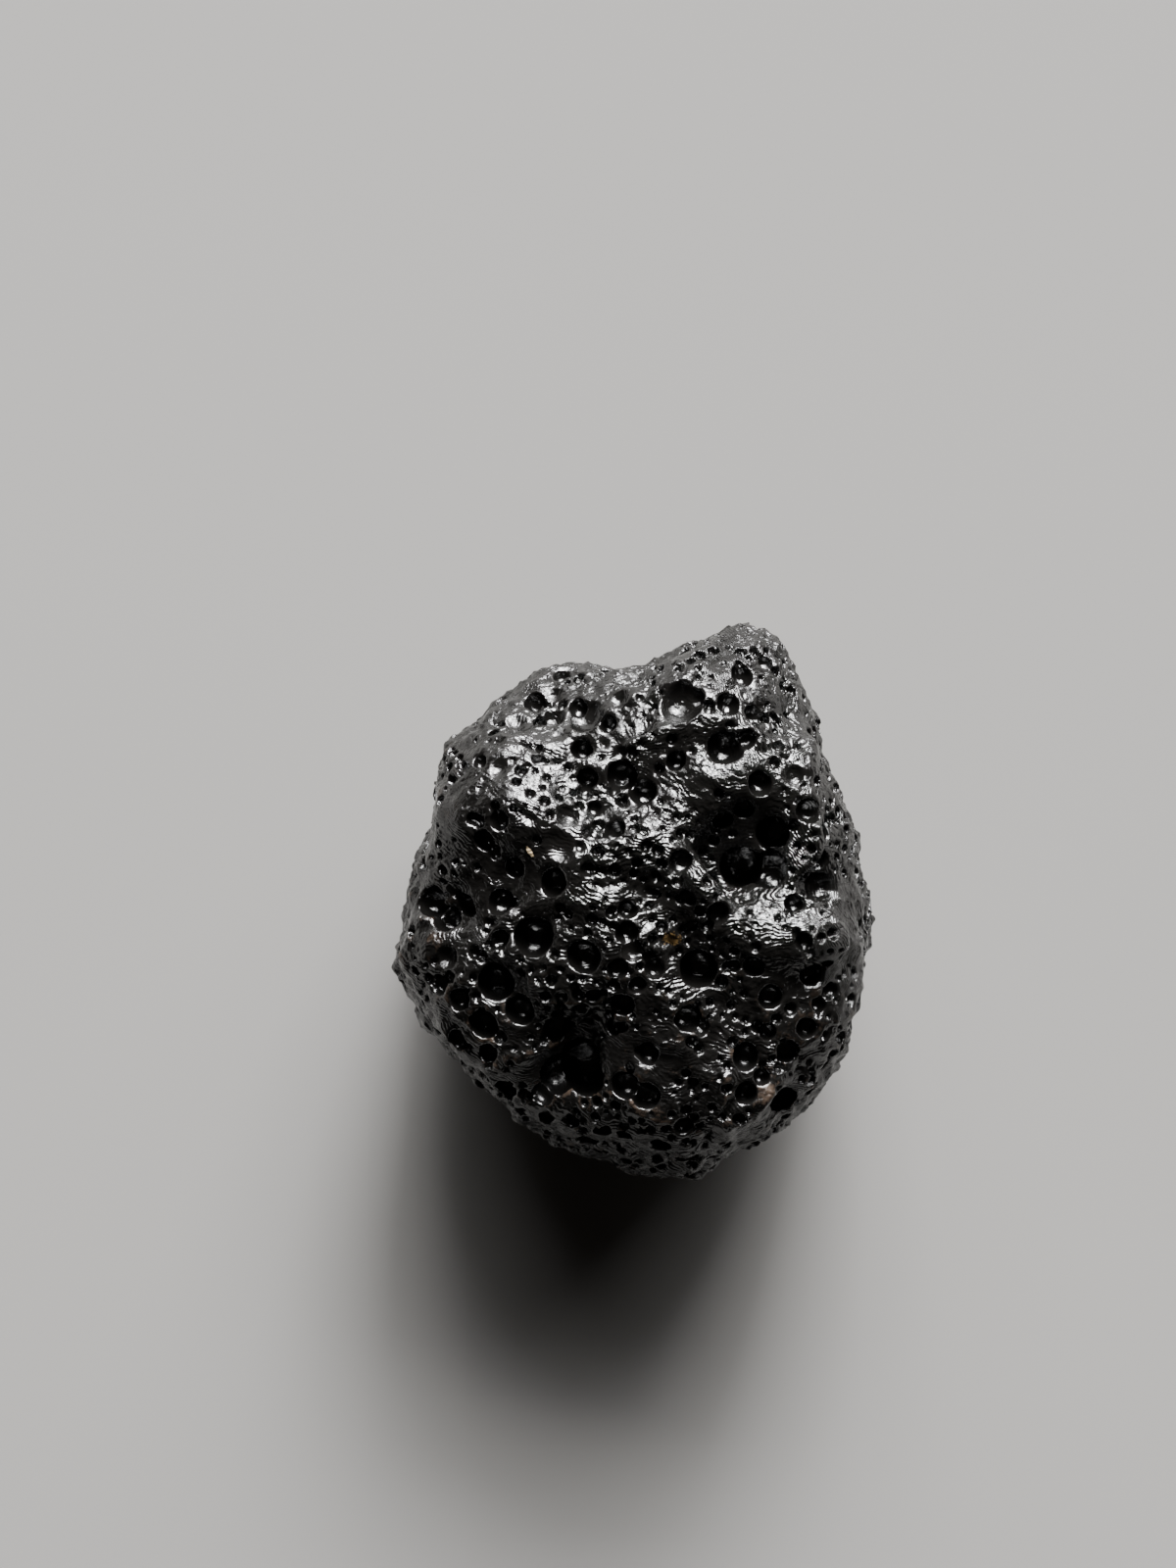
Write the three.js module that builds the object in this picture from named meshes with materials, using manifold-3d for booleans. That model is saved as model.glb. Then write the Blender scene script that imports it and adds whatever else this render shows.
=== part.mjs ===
// A tektite: one loose pebble of black natural glass, domed, lumpy and covered in burst bubble pits.
// Millimetres, +Z up. The stone lies on its back: the side with the two caves looks up along +Z,
// and the horn on its rim points along +Y. The origin is under the middle of the stone.
import * as THREE from "three";
import { mergeVertices } from "three/addons/utils/BufferGeometryUtils.js";
import Module from "manifold-3d";

// Size of the whole stone
const WIDTH = 11.3;
const LENGTH = 13;
const THICKNESS = 8;

// Height of the widest level of the stone, and how far its back would reach below z = 0 if uncut
const RIM_HEIGHT = 4.1;
const WORN_OFF = 0.25;
const FRONT_RISE = THICKNESS - RIM_HEIGHT;
const BACK_DROP = RIM_HEIGHT + WORN_OFF;

// The body's section is between an ellipse (2) and a box (large): the front is flatter than the back
const FRONT_POWER = 3;
const BACK_POWER = 2.25;

// Fineness of the faceted skin: an icosahedron has 20 * (detail + 1)^2 triangles
const SKIN_DETAIL = 10;

// The rim seen from above, clockwise from the upper left, in mm about the stone's middle
const RIM = [
  [-4.68, 1.97], [-4.61, 2.52], [-4.52, 3.23], [-4.34, 3.65], [-4.0, 3.9], [-3.6, 4.18],
  [-3.24, 4.57], [-2.67, 4.95], [-2.21, 5.31], [-1.71, 5.46], [-1.16, 5.56], [-0.89, 5.4],
  [-0.16, 5.33], [0.27, 5.4], [0.91, 5.75], [1.37, 6.02], [2.06, 6.17], [2.29, 6.38],
  [2.74, 6.47], [3.2, 6.36], [3.58, 6.05], [3.74, 5.57], [3.97, 5.09], [4.15, 4.59],
  [4.4, 4.18], [4.51, 3.23], [4.65, 2.81], [4.93, 2.45], [5.2, 1.81], [5.42, 0.82],
  [5.6, 0.02], [5.66, -0.56], [5.55, -1.19], [5.39, -1.63], [5.37, -2.05], [5.38, -2.3],
  [5.2, -2.65], [5.04, -3.15], [5.14, -3.29], [5.05, -3.65], [4.81, -3.9], [4.58, -4.27],
  [4.22, -4.77], [3.86, -5.08], [3.38, -5.5], [2.81, -5.77], [2.35, -5.91], [2.08, -6.11],
  [1.81, -6.38], [1.49, -6.52], [0.8, -6.48], [-0.07, -6.41], [-0.41, -6.2], [-0.87, -6.02],
  [-1.49, -6.03], [-1.85, -5.69], [-2.33, -5.45], [-2.76, -5.15], [-2.9, -4.9], [-3.4, -4.52],
  [-3.79, -4.21], [-4.06, -3.83], [-4.34, -3.53], [-4.79, -3.05], [-5.06, -2.78], [-5.14, -2.42],
  [-5.3, -2.03], [-5.62, -1.63], [-5.61, -1.19], [-5.37, -0.6], [-5.38, -0.14], [-5.19, 0.54],
  [-5.0, 1.22], [-4.74, 1.5],
];

// How far along the rim it is averaged, in radians: close to its own level, and for the rounder body
const RIM_SHARP = THREE.MathUtils.degToRad(2);
const RIM_ROUND = THREE.MathUtils.degToRad(24);
// Slope above or below the rim's level at which the sharp rim has faded
const RIM_FADE = 0.38;

// Broad forms of the upper side as [x, y, reach, height, edge]: a bowl or a lump that ends at its reach,
// with a soft edge at 2 and a steep one at 4
const FORMS = [
  [-1.0, 4.9, 4.0, -0.75, 2],
  [2.72, 1.2, 1.4, -0.8, 4],
  [2.9, 0.9, 2.1, -0.35, 2],
  [-1.4, -3.8, 1.7, -0.6, 2],
  [2.2, 3.6, 0.85, -0.2, 3],
  [-3.2, -1.9, 1.0, -0.25, 2],
  [-1.5, 2.9, 0.75, -0.14, 3],
  [0.2, 5.75, 0.85, -0.55, 3],
  [1.25, 6.0, 0.85, -0.6, 3],
  [-2.3, -0.8, 0.9, -0.12, 2],
  [3.55, -4.6, 0.9, -0.45, 2],
  [4.4, 0.35, 0.7, -0.3, 3],
  [-4.6, -0.2, 0.9, -0.3, 2],
  [-3.6, 0.9, 1.1, -0.15, 2],
  [1.2, -1.8, 1.2, -0.1, 2],
  [-3.9, 3.6, 1.6, 0.25, 2],
  [2.8, 5.7, 1.4, 0.4, 2],
  [4.1, -0.6, 1.4, 0.3, 2],
  [4.2, 3.2, 1.5, 0.3, 2],
  [-0.6, -6.2, 5.4, -0.55, 2],
];

// Ridges of the upper side as half-width and height, each with the points of its crest. Their edges are soft.
const SOFT_EDGE = 2;
const RIDGES = [
  { reach: 0.85, height: 0.4, crest: [[1.6, 0.5], [2.2, -0.45], [3.2, -0.85], [4.5, -0.9]] },
  { reach: 0.9, height: 0.2, crest: [[0.1, 1.2], [0.9, 0.9], [1.6, 0.3]] },
  { reach: 1.1, height: 0.2, crest: [[-3.6, 1.9], [-1.6, 1.45], [0.2, 1.35], [1.0, 1.0]] },
  { reach: 0.5, height: 0.36, crest: [[4.2, -4.15], [3.2, -4.3], [2.75, -4.75], [2.2, -5.05], [1.95, -6.1]] },
  { reach: 0.38, height: 0.1, crest: [[2.3, -3.4], [2.15, -4.0], [1.95, -4.7]] },
  { reach: 0.38, height: 0.06, crest: [[0.5, -3.2], [1.2, -3.55], [1.6, -3.95], [2.1, -4.0]] },
  { reach: 0.4, height: 0.22, crest: [[-3.4, -3.9], [-2.8, -3.8], [-2.3, -3.75]] },
  { reach: 0.4, height: 0.2, crest: [[0.0, 3.85], [0.7, 4.08], [2.4, 4.1], [3.0, 3.8]] },
  { reach: 0.55, height: 0.3, crest: [[4.0, 4.6], [4.0, 3.2], [3.9, 1.9], [4.0, 0.9]] },
  { reach: 0.4, height: 0.2, crest: [[-5.2, -2.2], [-4.4, -2.9], [-3.9, -3.7]] },
  { reach: 0.22, height: 0.14, crest: [[-0.2, 5.0], [0.5, 5.1], [1.2, 5.12], [1.75, 5.5], [2.2, 6.1]] },
];

// Slow waves that keep the stone lumpy all round: radians per mm along each axis, phase, height
const SWELLS = [
  { along: [1.1, 0.7, -0.5], phase: 0.4, height: 0.14 },
  { along: [-0.6, 1.3, 0.9], phase: 2.1, height: 0.13 },
  { along: [0.9, -1.2, 1.4], phase: 4.0, height: 0.1 },
  { along: [2.3, 1.6, 1.1], phase: 1.2, height: 0.06 },
  { along: [-1.9, 2.4, -1.7], phase: 5.2, height: 0.05 },
];

// Burst bubbles of the upper side as [x, y, mouth radius], by the part of the stone they are in.
// A fourth value is how far the ball's middle stands above the skin, as a share of the mouth radius.
const PITS = {
  caves: [
    [-1.25, -3.75, 0.62, -0.8], [-1.72, -4.0, 0.5, -0.6], [-1.1, -4.05, 0.48, -0.6],
    [-1.72, -2.95, 0.4, -0.3], [2.5, 0.8, 0.52, -0.5], [3.25, 0.75, 0.5, -0.5], [3.3, 1.6, 0.46, -0.4],
    [2.15, 3.6, 0.42, -0.6], [-3.2, -1.85, 0.46, -0.5],
  ],
  upperLeft: [
    [-2.33, 4.69, 0.26], [-1.9, 4.82, 0.23, 0.3], [-1.12, 4.33, 0.48, 0.35], [-1.89, 4.29, 0.29, 0.3],
    [-2.76, 4.17, 0.32, 0.7], [-0.34, 4.68, 0.24, 0.35], [-0.59, 4.13, 0.21], [-1.21, 3.56, 0.26],
    [-1.78, 3.84, 0.26, 0.9], [-3.13, 3.12, 0.28, 0.5], [-3.99, 3.11, 0.19], [-3.17, 1.83, 0.23],
    [-3.49, 1.38, 0.26], [-1.48, 1.99, 0.29, 0.35], [-2.42, 1.93, 0.19, 0.6], [-0.96, 1.63, 0.23],
    [-0.5, 1.7, 0.29], [-0.27, 2.95, 0.34], [0.22, 2.56, 0.33], [-1.7, 1.3, 0.45, 0.7], [-1.08, 2.88, 0.26],
  ],
  upperRight: [
    [1.12, 4.62, 0.53, 0.25], [2.56, 5.25, 0.27], [3.04, 5.36, 0.17], [2.24, 4.6, 0.28], [2.86, 4.34, 0.25],
    [2.67, 3.77, 0.23], [0.98, 3.27, 0.25], [3.0, 2.72, 0.31], [2.58, 2.11, 0.25], [2.08, 1.85, 0.26],
    [1.12, 0.97, 0.26], [4.25, 2.1, 0.3], [4.47, 1.61, 0.21], [4.42, 0.95, 0.28],
  ],
  middle: [
    [-4.8, 0.0, 0.35], [-4.38, -0.37, 0.33], [-4.42, -1.29, 0.31, 0.2], [-4.61, -1.95, 0.24],
    [-3.93, -0.1, 0.25], [-3.15, 0.0, 0.34], [-2.78, 0.78, 0.25], [-3.17, -0.87, 0.25], [-1.89, 0.47, 0.34],
    [-0.11, -0.14, 0.23], [-2.33, -0.8, 0.47], [-1.17, -1.28, 0.42], [0.02, -1.15, 0.23],
    [-0.36, -1.58, 0.25], [0.09, -1.97, 0.21], [-0.12, -0.72, 0.25], [1.28, 0.08, 0.21], [1.99, -0.3, 0.28],
    [0.52, -1.55, 0.25], [1.52, -1.52, 0.45], [2.8, -1.5, 0.26], [3.78, -0.03, 0.24],
    [4.38, 0.33, 0.38, 0.15], [4.0, -0.95, 0.19], [4.2, -1.7, 0.28], [4.72, -2.06, 0.2],
  ],
  lower: [
    [-3.5, -2.88, 0.34], [-2.68, -2.53, 0.34], [-4.13, -2.3, 0.26], [-3.42, -3.5, 0.24],
    [-4.17, -3.25, 0.25], [-3.5, -4.13, 0.23], [-3.05, -4.4, 0.27], [-2.15, -4.5, 0.27],
    [-0.27, -2.39, 0.28], [1.3, -2.7, 0.32], [-0.22, -4.27, 0.32], [0.37, -3.52, 0.26], [0.3, -4.52, 0.32],
    [2.65, -3.58, 0.35], [3.22, -2.2, 0.28], [4.08, -2.95, 0.26], [3.17, -3.02, 0.21], [3.63, -3.5, 0.29],
    [2.62, -4.42, 0.28], [3.03, -4.05, 0.22], [3.55, -4.6, 0.38], [5.15, -2.28, 0.17], [1.6, -2.9, 0.23],
    [-0.72, -5.35, 0.22], [-1.12, -5.75, 0.29], [-0.2, -5.47, 0.2], [0.63, -5.68, 0.25], [1.2, -5.25, 0.22],
    [2.77, -5.08, 0.18, -0.2], [-1.45, -5.12, 0.2],
  ],
};
// The same value for the other pits: their middles lie under the skin, so their lips overhang
const PIT_ABOVE = -0.5;
// A ball gains a level of facets for each step of this many mm in its radius, and has two levels at most
const FACET_STEP = 0.5;
const MOST_FACETS = 2;
// Each next ball is turned this much further about x, y and z, in radians
const TURN_STEPS = [1, 2.3, 0.7];

// Burst bubbles all over the sides and the back, spread by turns of the golden angle from top to bottom
const SCATTER = 88;
const GOLDEN_ANGLE = Math.PI * (3 - Math.sqrt(5));
const SCATTER_TOP = 0.22;
const SCATTER_BOTTOM = -0.8;
const SCATTER_SMALLEST = 0.16;
const SCATTER_LARGEST = 0.52;
// How far they stray in height and in turn, and which number starts each row of repeatable fractions
const STRAY_HEIGHT = 0.08;
const STRAY_TURN = 0.5;
const HEIGHT_SEED = 1;
const TURN_SEED = 301;
const SIZE_SEED = 601;
const FRACTION_RATE = 12.9898;
const FRACTION_GAIN = 43758.5453;

// Length of the step over which the skin's slope is taken, and how often a place on it is corrected
const SLOPE_STEP = 0.04;
const PLACE_ROUNDS = 8;
// Points nearer than this are one point
const MERGE_GAP = 1e-4;

// Finish of the stone: black glass with an even, oily shine
const glass = new THREE.MeshStandardMaterial({ color: 0x0b0b0c, roughness: 0.28, metalness: 0 });

// Rim points scaled to the stone's width and length, as angle and radius in order of angle
const reach = new THREE.Box2().setFromPoints(RIM.map(([x, y]) => new THREE.Vector2(x, y)));
const middle = reach.getCenter(new THREE.Vector2());
const span = reach.getSize(new THREE.Vector2());
const rimPolar = RIM.map(([x, y]) => {
  const across = ((x - middle.x) * WIDTH) / span.x;
  const along = ((y - middle.y) * LENGTH) / span.y;
  return { angle: Math.atan2(along, across), radius: Math.hypot(across, along) };
}).sort((a, b) => a.angle - b.angle);

// Radius of the rim at one angle, straight from point to point
function rimAt(angle) {
  const turn = 2 * Math.PI;
  const wrapped = THREE.MathUtils.euclideanModulo(angle + Math.PI, turn) - Math.PI;
  const next = Math.max(0, rimPolar.findIndex((point) => point.angle > wrapped));
  const after = rimPolar[next];
  const before = rimPolar[(next + rimPolar.length - 1) % rimPolar.length];
  const gap = THREE.MathUtils.euclideanModulo(after.angle - before.angle, turn);
  const along = THREE.MathUtils.euclideanModulo(wrapped - before.angle, turn) / gap;
  return THREE.MathUtils.lerp(before.radius, after.radius, along);
}

// Rim radius averaged over a stretch on each side of an angle
function rimAverage(angle, stretch) {
  const steps = [-1, -0.5, 0, 0.5, 1];
  return steps.reduce((sum, step) => sum + rimAt(angle + step * stretch), 0) / steps.length;
}

const centre = new THREE.Vector3(0, 0, RIM_HEIGHT);

// How close a direction is to the rim's own level: 1 on it, 0 well above or below
function rimShare(direction) {
  return Math.exp(-((direction.z / RIM_FADE) ** 2));
}

// Distance from the stone's centre to its smooth body along a direction
function bodyRadius(direction) {
  const flat = Math.hypot(direction.x, direction.y);
  const steep = Math.abs(direction.z);
  const angle = Math.atan2(direction.y, direction.x);
  const round = rimAverage(angle, RIM_ROUND);
  const rim = THREE.MathUtils.lerp(round, rimAverage(angle, RIM_SHARP), rimShare(direction));
  const height = direction.z > 0 ? FRONT_RISE : BACK_DROP;
  const power = direction.z > 0 ? FRONT_POWER : BACK_POWER;
  return ((flat / rim) ** power + (steep / height) ** power) ** (-1 / power);
}

function bodyPoint(direction) {
  return direction.clone().multiplyScalar(bodyRadius(direction)).add(centre);
}

// The smooth body's point above a place of the upper side
function lifted([x, y]) {
  const rim = rimAverage(Math.atan2(y, x), RIM_ROUND);
  const share = Math.min(1, Math.hypot(x, y) / rim);
  const rise = FRONT_RISE * (1 - share ** FRONT_POWER) ** (1 / FRONT_POWER);
  return new THREE.Vector3(x, y, RIM_HEIGHT + rise);
}

const forms = FORMS.map(([x, y, radius, height, edge]) => {
  return { radius, height, edge, place: lifted([x, y]) };
});
const ridges = RIDGES.map(({ reach: radius, height, crest }) => {
  const points = crest.map(lifted);
  const lines = points.slice(1).map((point, i) => new THREE.Line3(points[i], point));
  return { radius, height, lines };
});
const swells = SWELLS.map(({ along, phase, height }) => {
  return { phase, height, along: new THREE.Vector3(...along) };
});

// Height of a form that is full at its middle and flat at its reach
function bell(distance, radius, height, edge) {
  const share = Math.min(1, distance / radius);
  return height * (1 - share ** edge) ** 2;
}

// How far the skin stands out of the smooth body at a point of it
function relief(point) {
  let height = 0;
  for (const form of forms) {
    height += bell(point.distanceTo(form.place), form.radius, form.height, form.edge);
  }
  for (const ridge of ridges) {
    const distances = ridge.lines.map((line) => {
      return line.closestPointToPoint(point, true, new THREE.Vector3()).distanceTo(point);
    });
    height += bell(Math.min(...distances), ridge.radius, ridge.height, SOFT_EDGE);
  }
  for (const swell of swells) {
    height += swell.height * Math.sin(swell.along.dot(point) + swell.phase);
  }
  return height;
}

// A point of the skin: the relief is full away from the rim, which keeps its own outline
function skinPoint(direction) {
  const point = bodyPoint(direction);
  return point.addScaledVector(direction, relief(point) * (1 - rimShare(direction)));
}

// Direction from the centre in which the skin is seen from above at a given place
function directionAbove([x, y]) {
  const direction = lifted([x, y]).sub(centre).normalize();
  for (let i = 0; i < PLACE_ROUNDS; i++) {
    const point = skinPoint(direction);
    const far = point.distanceTo(centre);
    direction.x += (x - point.x) / far;
    direction.y += (y - point.y) / far;
    direction.normalize();
  }
  return direction;
}

// Outward direction of the skin, taken over about a pit's width
function skinNormal(direction) {
  const aside = new THREE.Vector3(direction.z, direction.x, direction.y).cross(direction).normalize();
  const across = direction.clone().cross(aside);
  const here = skinPoint(direction);
  const one = skinPoint(direction.clone().addScaledVector(aside, SLOPE_STEP).normalize()).sub(here);
  const two = skinPoint(direction.clone().addScaledVector(across, SLOPE_STEP).normalize()).sub(here);
  const normal = one.cross(two).normalize();
  return normal.dot(direction) < 0 ? normal.negate() : normal;
}

const wasm = await Module();
wasm.setup();

// Keeps a geometry's points alone, each of them once
function mergeBare(geometry) {
  geometry.deleteAttribute("normal");
  geometry.deleteAttribute("uv");
  return mergeVertices(geometry, MERGE_GAP);
}

function toSolid(geometry) {
  const merged = mergeBare(geometry);
  const vertProperties = merged.attributes.position.array;
  const triVerts = new Uint32Array(merged.index.array);
  return new wasm.Manifold(new wasm.Mesh({ numProp: 3, vertProperties, triVerts }));
}

function toGeometry(solid) {
  const mesh = solid.getMesh();
  const geometry = new THREE.BufferGeometry();
  geometry.setAttribute("position", new THREE.BufferAttribute(mesh.vertProperties, 3));
  geometry.setIndex(new THREE.BufferAttribute(mesh.triVerts, 1));
  return geometry;
}

// The closed skin with its forms, ridges and swells, before any pit is cut
function makeSkin() {
  const skin = mergeBare(new THREE.IcosahedronGeometry(1, SKIN_DETAIL));
  const positions = skin.attributes.position;
  for (let i = 0; i < positions.count; i++) {
    const direction = new THREE.Vector3().fromBufferAttribute(positions, i).normalize();
    const point = skinPoint(direction);
    positions.setXYZ(i, point.x, point.y, point.z);
  }
  return skin;
}

// One bubble as a small faceted ball, finer for a larger one and turned by its number
function makeBall(place, radius, number) {
  const detail = Math.min(MOST_FACETS, Math.floor(radius / FACET_STEP));
  const ball = new THREE.IcosahedronGeometry(radius, detail);
  const turn = new THREE.Euler(...TURN_STEPS.map((step) => step * number));
  ball.applyMatrix4(new THREE.Matrix4().makeRotationFromEuler(turn));
  ball.translate(place.x, place.y, place.z);
  return toSolid(ball);
}

// A repeatable fraction from 0 to 1 for a number
function fraction(number) {
  const wave = Math.sin(number * FRACTION_RATE) * FRACTION_GAIN;
  return wave - Math.floor(wave);
}

// All bubbles: the direction and the radius of the mouth, and how far the middle is above the skin
function listBubbles() {
  const bubbles = [];
  for (const [x, y, mouth, above = PIT_ABOVE] of Object.values(PITS).flat()) {
    bubbles.push({ direction: directionAbove([x, y]), mouth, above });
  }
  for (let i = 0; i < SCATTER; i++) {
    const z = 1 - (2 * (i + 0.5)) / SCATTER + STRAY_HEIGHT * (fraction(i + HEIGHT_SEED) - 0.5);
    if (z < SCATTER_TOP && z > SCATTER_BOTTOM) {
      const turn = i * GOLDEN_ANGLE + STRAY_TURN * (fraction(i + TURN_SEED) - 0.5);
      const flat = Math.sqrt(1 - z * z);
      const direction = new THREE.Vector3(flat * Math.cos(turn), flat * Math.sin(turn), z);
      const share = fraction(i + SIZE_SEED) ** 3;
      const mouth = THREE.MathUtils.lerp(SCATTER_SMALLEST, SCATTER_LARGEST, share);
      bubbles.push({ direction, mouth, above: PIT_ABOVE });
    }
  }
  return bubbles;
}

function makeStone() {
  let solid = toSolid(makeSkin());
  listBubbles().forEach(({ direction, mouth, above }, number) => {
    const place = skinPoint(direction).addScaledVector(skinNormal(direction), above * mouth);
    solid = solid.subtract(makeBall(place, mouth * Math.hypot(1, above), number));
  });
  const ground = new THREE.BoxGeometry(2 * WIDTH, 2 * LENGTH, THICKNESS).translate(0, 0, -THICKNESS / 2);
  return toGeometry(solid.subtract(toSolid(ground)));
}

// Puts the origin exactly under the middle of the stone
function centreOnGround(geometry) {
  geometry.computeBoundingBox();
  const box = geometry.boundingBox;
  const mid = box.getCenter(new THREE.Vector3());
  return geometry.translate(-mid.x, -mid.y, -box.min.z);
}

const stone = new THREE.Mesh(centreOnGround(makeStone()), glass);
stone.name = "tektite";

const part = new THREE.Group();
part.add(stone);

export default part;
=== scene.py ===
"""A black, bubble-pitted tektite on a pale floor, laid out as an add-on and run as a script."""

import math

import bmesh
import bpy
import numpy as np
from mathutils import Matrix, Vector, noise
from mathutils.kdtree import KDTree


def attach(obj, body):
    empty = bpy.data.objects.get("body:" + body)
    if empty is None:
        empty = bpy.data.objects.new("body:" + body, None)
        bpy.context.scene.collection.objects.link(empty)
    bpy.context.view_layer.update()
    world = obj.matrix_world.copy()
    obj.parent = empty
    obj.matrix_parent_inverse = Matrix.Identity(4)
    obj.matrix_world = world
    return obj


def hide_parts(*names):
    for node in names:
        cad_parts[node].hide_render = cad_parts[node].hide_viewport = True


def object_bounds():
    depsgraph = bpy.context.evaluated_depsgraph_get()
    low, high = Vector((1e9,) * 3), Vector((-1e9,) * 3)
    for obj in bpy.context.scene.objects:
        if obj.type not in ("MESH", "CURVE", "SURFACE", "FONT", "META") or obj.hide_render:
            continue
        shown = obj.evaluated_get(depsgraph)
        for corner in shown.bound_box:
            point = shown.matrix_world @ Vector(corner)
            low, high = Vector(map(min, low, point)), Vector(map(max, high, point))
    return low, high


bl_info = {
    "name": "Bubbly tektite",
    "version": (1, 0, 0),
    "blender": (4, 5, 0),
    "location": "3D View > Sidebar > Tektite",
    "description": "Makes one pebble of black natural glass and a plain stage for it",
    "category": "Object",
}

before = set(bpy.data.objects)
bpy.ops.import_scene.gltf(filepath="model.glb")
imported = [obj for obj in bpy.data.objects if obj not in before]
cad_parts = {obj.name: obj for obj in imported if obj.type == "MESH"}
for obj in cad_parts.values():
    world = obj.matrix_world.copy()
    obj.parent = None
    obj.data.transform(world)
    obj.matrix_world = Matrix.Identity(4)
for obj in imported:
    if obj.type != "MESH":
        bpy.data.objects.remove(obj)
CAD_LOW, CAD_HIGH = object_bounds()

MM = 0.001

# The photograph's frame in pixels, its scale, and where the stone's middle is in it
PHOTO_WIDTH = 1200
PHOTO_HEIGHT = 1600
PIXELS_PER_MM = 44.0
STONE_MIDDLE = (646.5, 919.5)

# Size of the whole stone in mm, as its solid was driven
WIDTH = 11.3
LENGTH = 13.0
# Thickness of the smooth body, before its forms and lumps add to it
THICKNESS = 8.0
RIM_HEIGHT = 4.1
WORN_OFF = 0.25
FRONT_RISE = THICKNESS - RIM_HEIGHT
BACK_DROP = RIM_HEIGHT + WORN_OFF
FRONT_POWER = 3.0
BACK_POWER = 2.25
CENTRE = np.array([0.0, 0.0, RIM_HEIGHT])

# The rim seen from above, clockwise from the upper left, in mm about the stone's middle
RIM = [
    (-4.68, 1.97), (-4.61, 2.52), (-4.52, 3.23), (-4.34, 3.65), (-4.0, 3.9), (-3.6, 4.18),
    (-3.24, 4.57), (-2.67, 4.95), (-2.21, 5.31), (-1.71, 5.46), (-1.16, 5.56), (-0.89, 5.4),
    (-0.16, 5.33), (0.27, 5.4), (0.91, 5.75), (1.37, 6.02), (2.06, 6.17), (2.29, 6.38),
    (2.74, 6.47), (3.2, 6.36), (3.58, 6.05), (3.74, 5.57), (3.97, 5.09), (4.15, 4.59),
    (4.4, 4.18), (4.51, 3.23), (4.65, 2.81), (4.93, 2.45), (5.2, 1.81), (5.42, 0.82),
    (5.6, 0.02), (5.66, -0.56), (5.55, -1.19), (5.39, -1.63), (5.37, -2.05), (5.38, -2.3),
    (5.2, -2.65), (5.04, -3.15), (5.14, -3.29), (5.05, -3.65), (4.81, -3.9), (4.58, -4.27),
    (4.22, -4.77), (3.86, -5.08), (3.38, -5.5), (2.81, -5.77), (2.35, -5.91), (2.08, -6.11),
    (1.81, -6.38), (1.49, -6.52), (0.8, -6.48), (-0.07, -6.41), (-0.41, -6.2), (-0.87, -6.02),
    (-1.49, -6.03), (-1.85, -5.69), (-2.33, -5.45), (-2.76, -5.15), (-2.9, -4.9), (-3.4, -4.52),
    (-3.79, -4.21), (-4.06, -3.83), (-4.34, -3.53), (-4.79, -3.05), (-5.06, -2.78), (-5.14, -2.42),
    (-5.3, -2.03), (-5.62, -1.63), (-5.61, -1.19), (-5.37, -0.6), (-5.38, -0.14), (-5.19, 0.54),
    (-5.0, 1.22), (-4.74, 1.5),
]
RIM_SHARP = math.radians(2)
RIM_ROUND = math.radians(24)
RIM_FADE = 0.38

# Broad forms of the upper side as x, y, reach, height and edge: a bowl or a lump that ends at its reach,
# with a soft edge at 2 and a steep one at 4
FORMS = [
    (-1.0, 4.9, 4.0, -0.75, 2),
    (2.72, 1.2, 1.4, -0.8, 4),
    (2.9, 0.9, 2.1, -0.35, 2),
    (-1.4, -3.8, 1.7, -0.6, 2),
    (2.2, 3.6, 0.85, -0.08, 3),
    (-3.2, -1.9, 1.0, -0.25, 2),
    (-1.5, 2.9, 0.75, -0.14, 3),
    (0.2, 5.75, 0.85, -0.55, 3),
    (1.25, 6.0, 0.85, -0.6, 3),
    (-2.3, -0.8, 0.9, -0.12, 2),
    (3.55, -4.6, 0.9, -0.45, 2),
    (4.4, 0.35, 0.7, -0.3, 3),
    (-4.6, -0.2, 0.9, -0.3, 2),
    (-3.6, 0.9, 1.1, -0.15, 2),
    (1.2, -1.8, 1.2, -0.05, 2),
    (1.5, -3.6, 2.2, -0.3, 2),
    (-3.4, -2.6, 1.9, -0.2, 2),
    (-3.9, 3.6, 1.6, 0.25, 2),
    (2.8, 5.7, 1.4, 0.4, 2),
    (4.1, -0.6, 1.4, 0.3, 2),
    (4.2, 3.2, 1.5, 0.3, 2),
    (-0.6, -6.2, 5.4, -0.55, 2),
]

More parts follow.
